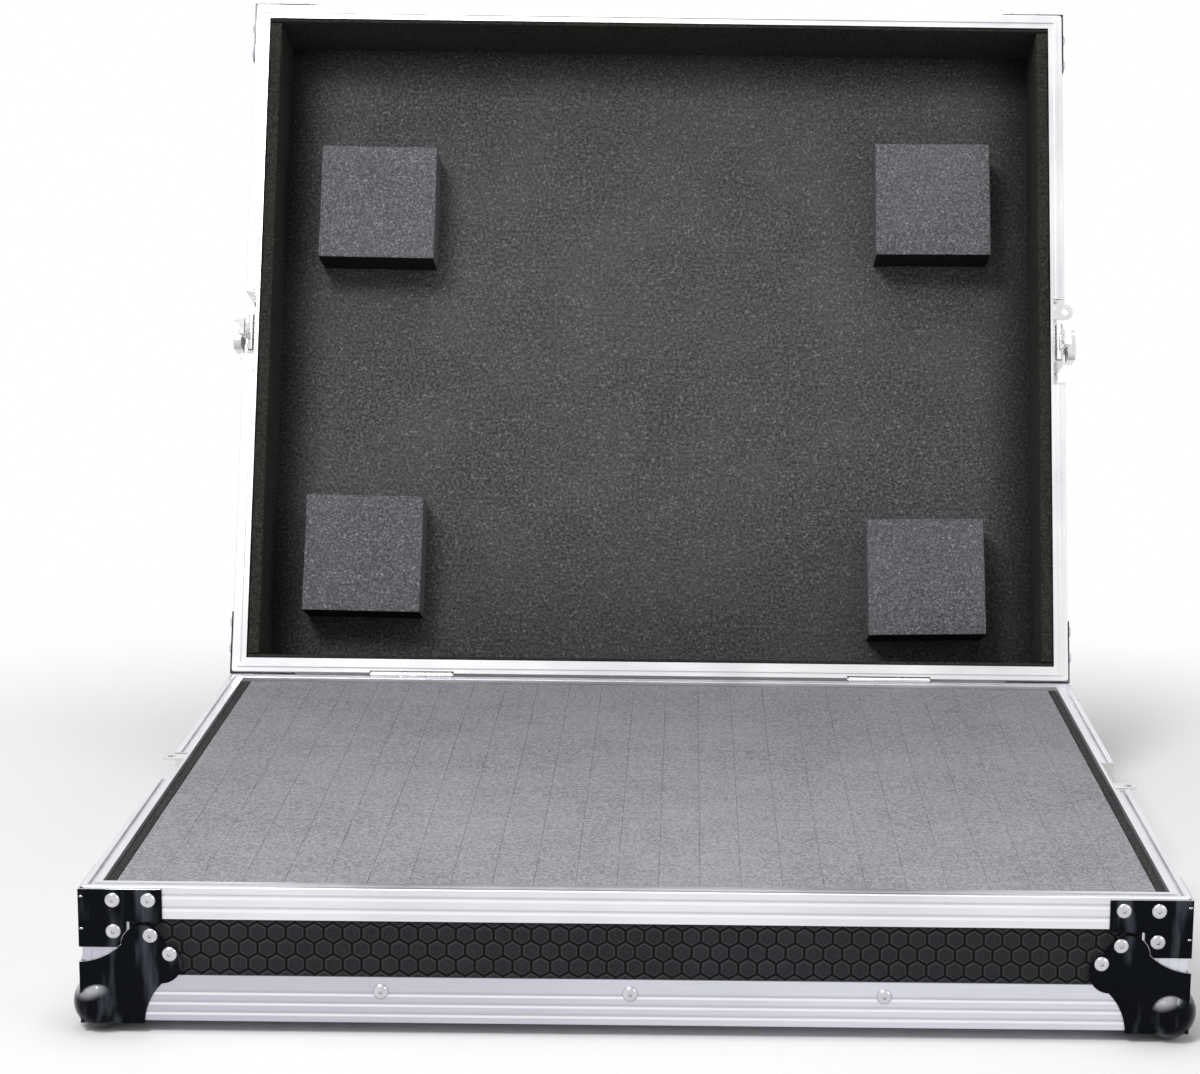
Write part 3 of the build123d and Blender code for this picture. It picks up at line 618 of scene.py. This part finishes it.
def foamSlab(name, low, high, cuts, edge, lump, lumpSize):
    # a cut slab of foam: bevelled, divided, and made a little uneven all over
    clearSelection()
    centre = [(a + b) / 2 for a, b in zip(low, high)]
    spans = [b - a for a, b in zip(low, high)]
    bpy.ops.mesh.primitive_cube_add(size=1, location=centre)
    slab = bpy.context.object
    slab.name = name
    slab.scale = spans
    bpy.ops.object.transform_apply(location=True, rotation=True, scale=True)
    bpy.ops.object.mode_set(mode="EDIT")
    for axis, count in enumerate(cuts):
        for step in range(1, count):
            spot = list(centre)
            spot[axis] = low[axis] + spans[axis] * step / count
            normal = [0, 0, 0]
            normal[axis] = 1
            bpy.ops.mesh.select_all(action="SELECT")
            bpy.ops.mesh.bisect(plane_co=spot, plane_no=normal)
    bpy.ops.object.mode_set(mode="OBJECT")
    bevel = slab.modifiers.new("softEdge", "BEVEL")
    bevel.width = edge
    bevel.segments = slabSet["segments"]
    bevel.limit_method = "ANGLE"
    if lump:
        texture = bpy.data.textures.new(name + "Lumps", "CLOUDS")
        texture.noise_scale = lumpSize
        texture.noise_depth = slabSet["lumpDepth"]
        displace = slab.modifiers.new("uneven", "DISPLACE")
        displace.texture = texture
        displace.texture_coords = "LOCAL"
        displace.strength = lump
        displace.mid_level = slabSet["middle"]
    applyAll(slab)
    only(slab)
    bpy.ops.object.shade_smooth_by_angle(angle=math.radians(slabSet["smooth"]))
    return slab


def makeStrips(name, low, high, side, end):
    # side strips run front to back and end strips left to right, between near and far from the inner wall
    strips = []
    for sign in (-1, 1):
        a, b = sorted((sign * (insideSize["x"] - side["near"]), sign * (insideSize["x"] - side["far"])))
        strips.append(foamSlab("strip", (a, -side["reach"], low), (b, side["reach"], high), *side["slab"]))
        a, b = sorted((sign * (insideSize["y"] - end["near"]), sign * (insideSize["y"] - end["far"])))
        strips.append(foamSlab("strip", (-end["reach"], a, low), (end["reach"], b, high), *end["slab"]))
    return joinAll(strips, name)


# slab: how often it is divided on each axis, its bevel, and the height and breadth of its lumps
baseFoamSet = {"floorLow": (-321.5, -265.5, 9.1), "floorHigh": (321.5, 265.5, 18.8),
               "floor": ((20, 16, 1), 1.2, 0, 20), "low": 19.1, "high": 80.0,
               "side": {"near": 0.3, "far": 6.2, "reach": 263.8, "slab": ((1, 60, 4), 1.0, 0.9, 14)},
               "end": {"near": 0.2, "far": 1.8, "reach": 321.5, "slab": ((60, 1, 4), 0.5, 0.3, 14)}}
lidFoamSet = {"back": 154.4, "backLow": (-321.8, -265.8, 154.6), "backHigh": (321.8, 265.8, 164.3),
              "sheet": ((48, 40, 1), 1.0, 0.8, 45), "low": 84.4, "high": 154.1,
              "side": {"near": 0.3, "far": 10.0, "reach": 262.9, "slab": ((2, 60, 8), 1.6, 1.5, 22)},
              "end": {"near": 0.3, "far": 3.0, "reach": 321.6, "slab": ((60, 1, 8), 0.8, 0.6, 18)}}

pluckFoam = makePluckFoam()
paint(pluckFoam, pluckGrey)
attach(pluckFoam, "base")
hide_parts("pluck_foam")

floorSheet = foamSlab("floorFoamSheet", baseFoamSet["floorLow"], baseFoamSet["floorHigh"], *baseFoamSet["floor"])
settle(floorSheet)
paint(floorSheet, liningFoam)
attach(floorSheet, "base")
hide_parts("floor_foam")

baseLining = makeStrips("baseLiningStrips", baseFoamSet["low"], baseFoamSet["high"], baseFoamSet["side"],
                        baseFoamSet["end"])
settle(baseLining)
paint(baseLining, liningFoam)
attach(baseLining, "base")
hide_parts("base_lining")
print("base foam made")

backSheet = foamSlab("lidBackFoamSheet", lidFoamSet["backLow"], lidFoamSet["backHigh"], *lidFoamSet["sheet"])
settle(backSheet, True)
paint(backSheet, lidFoam)
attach(backSheet, "lid")
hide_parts("lid_back_foam")

lidLining = makeStrips("lidLiningStrips", lidFoamSet["low"], lidFoamSet["high"], lidFoamSet["side"],
                       lidFoamSet["end"])
settle(lidLining, True)
paint(lidLining, lidLiningFoam)
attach(lidLining, "lid")
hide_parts("lid_lining")

# each block: its middle's place across, its distance back from the lid's front wall, and its turn in degrees
blockSet = {"size": 96.0, "thick": 40.0, "gap": 0.2, "slab": ((10, 10, 5), 1.1, 0.7, 16),
            "places": [(-232.0, 396.5, 0.4), (229.0, 405.0, -0.6), (-235.5, 101.5, 0.6), (223.0, 87.5, -1.2)]}


def makeBlocks():
    blocks = []
    half, gap = blockSet["size"] / 2 - blockSet["gap"], blockSet["gap"]
    for x, back, turn in blockSet["places"]:
        block = foamSlab("block", (-half, -half, -blockSet["thick"]), (half, half, -gap), *blockSet["slab"])
        block.data.transform(Matrix.Translation((x, halfDepth - back, lidFoamSet["back"]))
                             @ Matrix.Rotation(math.radians(turn), 4, "Z"))
        blocks.append(block)
    return joinAll(blocks, "foamBlockSet")


foamBlocks = makeBlocks()
settle(foamBlocks, True)
paint(foamBlocks, blockFoam)
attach(foamBlocks, "lid")
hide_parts("foam_blocks")
print("lid foam made")

# rings: radius as a share of the rivet's, and height in millimetres on a large rivet
# brace and ball: distances from the case's corner and from the edge
# dishes and hingeRows: distances from the latch's or hinge's middle and from the rim
rivetSet = {"large": 4.75, "small": 3.0, "plate": 1.3, "sides": 20, "smooth": 40,
            "rings": ((1.0, 0.0), (1.0, 0.35), (0.93, 0.9), (0.78, 1.5), (0.62, 1.85), (0.50, 1.95), (0.44, 1.80),
                      (0.38, 1.80), (0.33, 1.95), (0.25, 1.95), (0.20, 1.6), (0.18, 0.7)),
            "brace": ((19.5, 8.2), (40.7, 8.2), (19.7, 27.6)), "ball": ((41.6, 54.0), (53.0, 42.6)),
            "edgingX": (-154.0, -3.6, 150.0), "shiftX": 6, "edgingY": (-120.0, 0.0, 120.0), "shiftY": 5,
            "edgingInset": 20.0,
            "dishes": {"lid": ((39.3, 27.0), (39.3, 50.0), (18.0, 54.2)), "base": ((39.3, 26.0), (39.3, 36.0))},
            "hingeX": (-190.0, 190.0), "hingeAcross": 20.0, "hingeRows": (14.0, 32.0), "hingeLeaf": 2.0}


def makeRivet(name, radius):
    # rings of one circle, each extruded from the last and drawn in, closed at the bottom of the hole
    clearSelection()
    rings = rivetSet["rings"]
    bpy.ops.mesh.primitive_circle_add(vertices=rivetSet["sides"], radius=radius, fill_type="NOTHING")
    rivet = bpy.context.object
    bpy.ops.object.mode_set(mode="EDIT")
    bpy.ops.mesh.select_all(action="SELECT")
    grow = radius / rivetSet["large"]
    for (wide, low), (narrow, high) in zip(rings, rings[1:]):
        bpy.ops.mesh.extrude_region_move(TRANSFORM_OT_translate={"value": (0, 0, (high - low) * grow)})
        ratio = narrow / wide
        bpy.ops.transform.resize(value=(ratio, ratio, 1), center_override=(0, 0, 0))
    bpy.ops.mesh.edge_face_add()
    bpy.ops.mesh.select_all(action="SELECT")
    bpy.ops.mesh.normals_make_consistent(inside=False)
    bpy.ops.object.mode_set(mode="OBJECT")
    only(rivet)
    bpy.ops.object.shade_smooth_by_angle(angle=math.radians(rivetSet["smooth"]))
    rivet.name = name
    return rivet


def rivetGroup(name, model, spots, body):
    # a copy of the rivet at each place, along the normal there and turned at random
    copies = []
    for place, normal in spots:
        copy = model.copy()
        copy.data = model.data.copy()
        bpy.context.collection.objects.link(copy)
        turn = Vector(normal).to_track_quat("Z", "Y").to_matrix().to_4x4()
        copy.data.transform(Matrix.Translation(place) @ turn @ Matrix.Rotation(random.uniform(0, 6.28), 4, "Z"))
        copies.append(copy)
    group = joinAll(copies, name)
    settle(group, body == "lid")
    paint(group, polishedRivet)
    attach(group, body)


def cornerSpots(pairs, edge, upward, flat=False):
    # on both upright faces at each corner, and where flat is set on the top or bottom face too
    spots = []
    lift = rivetSet["plate"]
    for sx in (-1, 1):
        for sy in (-1, 1):
            for along, up in pairs:
                z = edge + upward * up
                spots.append(((sx * (halfWidth - along), sy * (halfDepth + lift), z), (0, sy, 0)))
                spots.append(((sx * (halfWidth + lift), sy * (halfDepth - along), z), (sx, 0, 0)))
                if flat:
                    place = (sx * (halfWidth - along), sy * (halfDepth - up), edge - upward * lift)
                    spots.append((place, (0, 0, -upward)))
    return spots


def edgingSpots(edge, upward):
    spots = []
    inset = rivetSet["edgingInset"]
    for sy in (-1, 1):
        for x in rivetSet["edgingX"]:
            spots.append(((x, sy * halfDepth, edge + upward * inset), (0, sy, 0)))
            spots.append(((x + rivetSet["shiftX"], sy * (halfDepth - inset), edge), (0, 0, -upward)))
    for sx in (-1, 1):
        for y in rivetSet["edgingY"]:
            spots.append(((sx * halfWidth, y, edge + upward * inset), (sx, 0, 0)))
            spots.append(((sx * (halfWidth - inset), y + rivetSet["shiftY"], edge), (0, 0, -upward)))
    return spots


largeRivet = makeRivet("largeRivet", rivetSet["large"])
smallRivet = makeRivet("smallRivet", rivetSet["small"])
for body, rim, outer, upward in (("base", caseSize["rimTop"], caseSize["edgingUnderside"], 1),
                                 ("lid", caseSize["lidFace"], caseSize["lidEdgingTop"], -1)):
    rivetGroup(body + "BraceRivets", largeRivet, cornerSpots(rivetSet["brace"], rim, -upward), body)
    rivetGroup(body + "BallRivets", largeRivet, cornerSpots(rivetSet["ball"], outer, upward, True), body)
    rivetGroup(body + "EdgingRivets", largeRivet, edgingSpots(outer, upward), body)

for body, pairs in rivetSet["dishes"].items():
    spots = []
    for sx in (-1, 1):
        for across, up in pairs:
            for sy in (-1, 1):
                z = caseSize["lidFace"] + up if body == "lid" else caseSize["rimTop"] - up
                spots.append(((sx * halfWidth, sy * across, z), (sx, 0, 0)))
    rivetGroup(body + "DishRivets", smallRivet, spots, body)

for body, upward in (("base", -1), ("lid", 1)):
    spots = []
    for centre in rivetSet["hingeX"]:
        for side in (-1, 1):
            for row in rivetSet["hingeRows"]:
                place = (centre + side * rivetSet["hingeAcross"], halfDepth + rivetSet["hingeLeaf"],
                         hingePoint.z + upward * row)
                spots.append((place, (0, 1, 0)))
    rivetGroup(body + "HingeRivets", smallRivet, spots, body)
for model in (largeRivet, smallRivet):
    bpy.data.objects.remove(model, do_unlink=True)
print("rivets made")

# place and reach in metres; the floor fades into the backdrop between two distances from the case, in millimetres
floorSet = {"place": (0, 0.2, -0.0087), "reach": 2.2, "sides": 96, "fadeFrom": 60, "fadeTo": 640,
            "tone": (0.86, 0.86, 0.86, 1)}
clearSelection()
bpy.ops.mesh.primitive_circle_add(vertices=floorSet["sides"], radius=floorSet["reach"], fill_type="NGON",
                                  location=floorSet["place"])
floor = bpy.context.object
floor.name = "studioFloor"
bpy.ops.object.transform_apply(location=True, rotation=True, scale=True)
paleFloor = Sheet("paleFloor")
floorX, floorY, _ = paleFloor.split(paleFloor.point())
offSide = (abs(floorX) - halfWidth).math("MAXIMUM", 0)
offEnd = (abs(floorY) - halfDepth).math("MAXIMUM", 0)
fade = (offSide * offSide + offEnd * offEnd).math("SQRT").ease(floorSet["fadeFrom"], floorSet["fadeTo"])
matte = paleFloor.make("ShaderNodeBsdfDiffuse", {}, {"Color": floorSet["tone"]})
clear = paleFloor.make("ShaderNodeBsdfTransparent")
mixed = paleFloor.make("ShaderNodeMixShader", {}, [fade, matte, clear])
paleFloor.make("ShaderNodeOutputMaterial", {}, [mixed])
paint(floor, paleFloor.material)
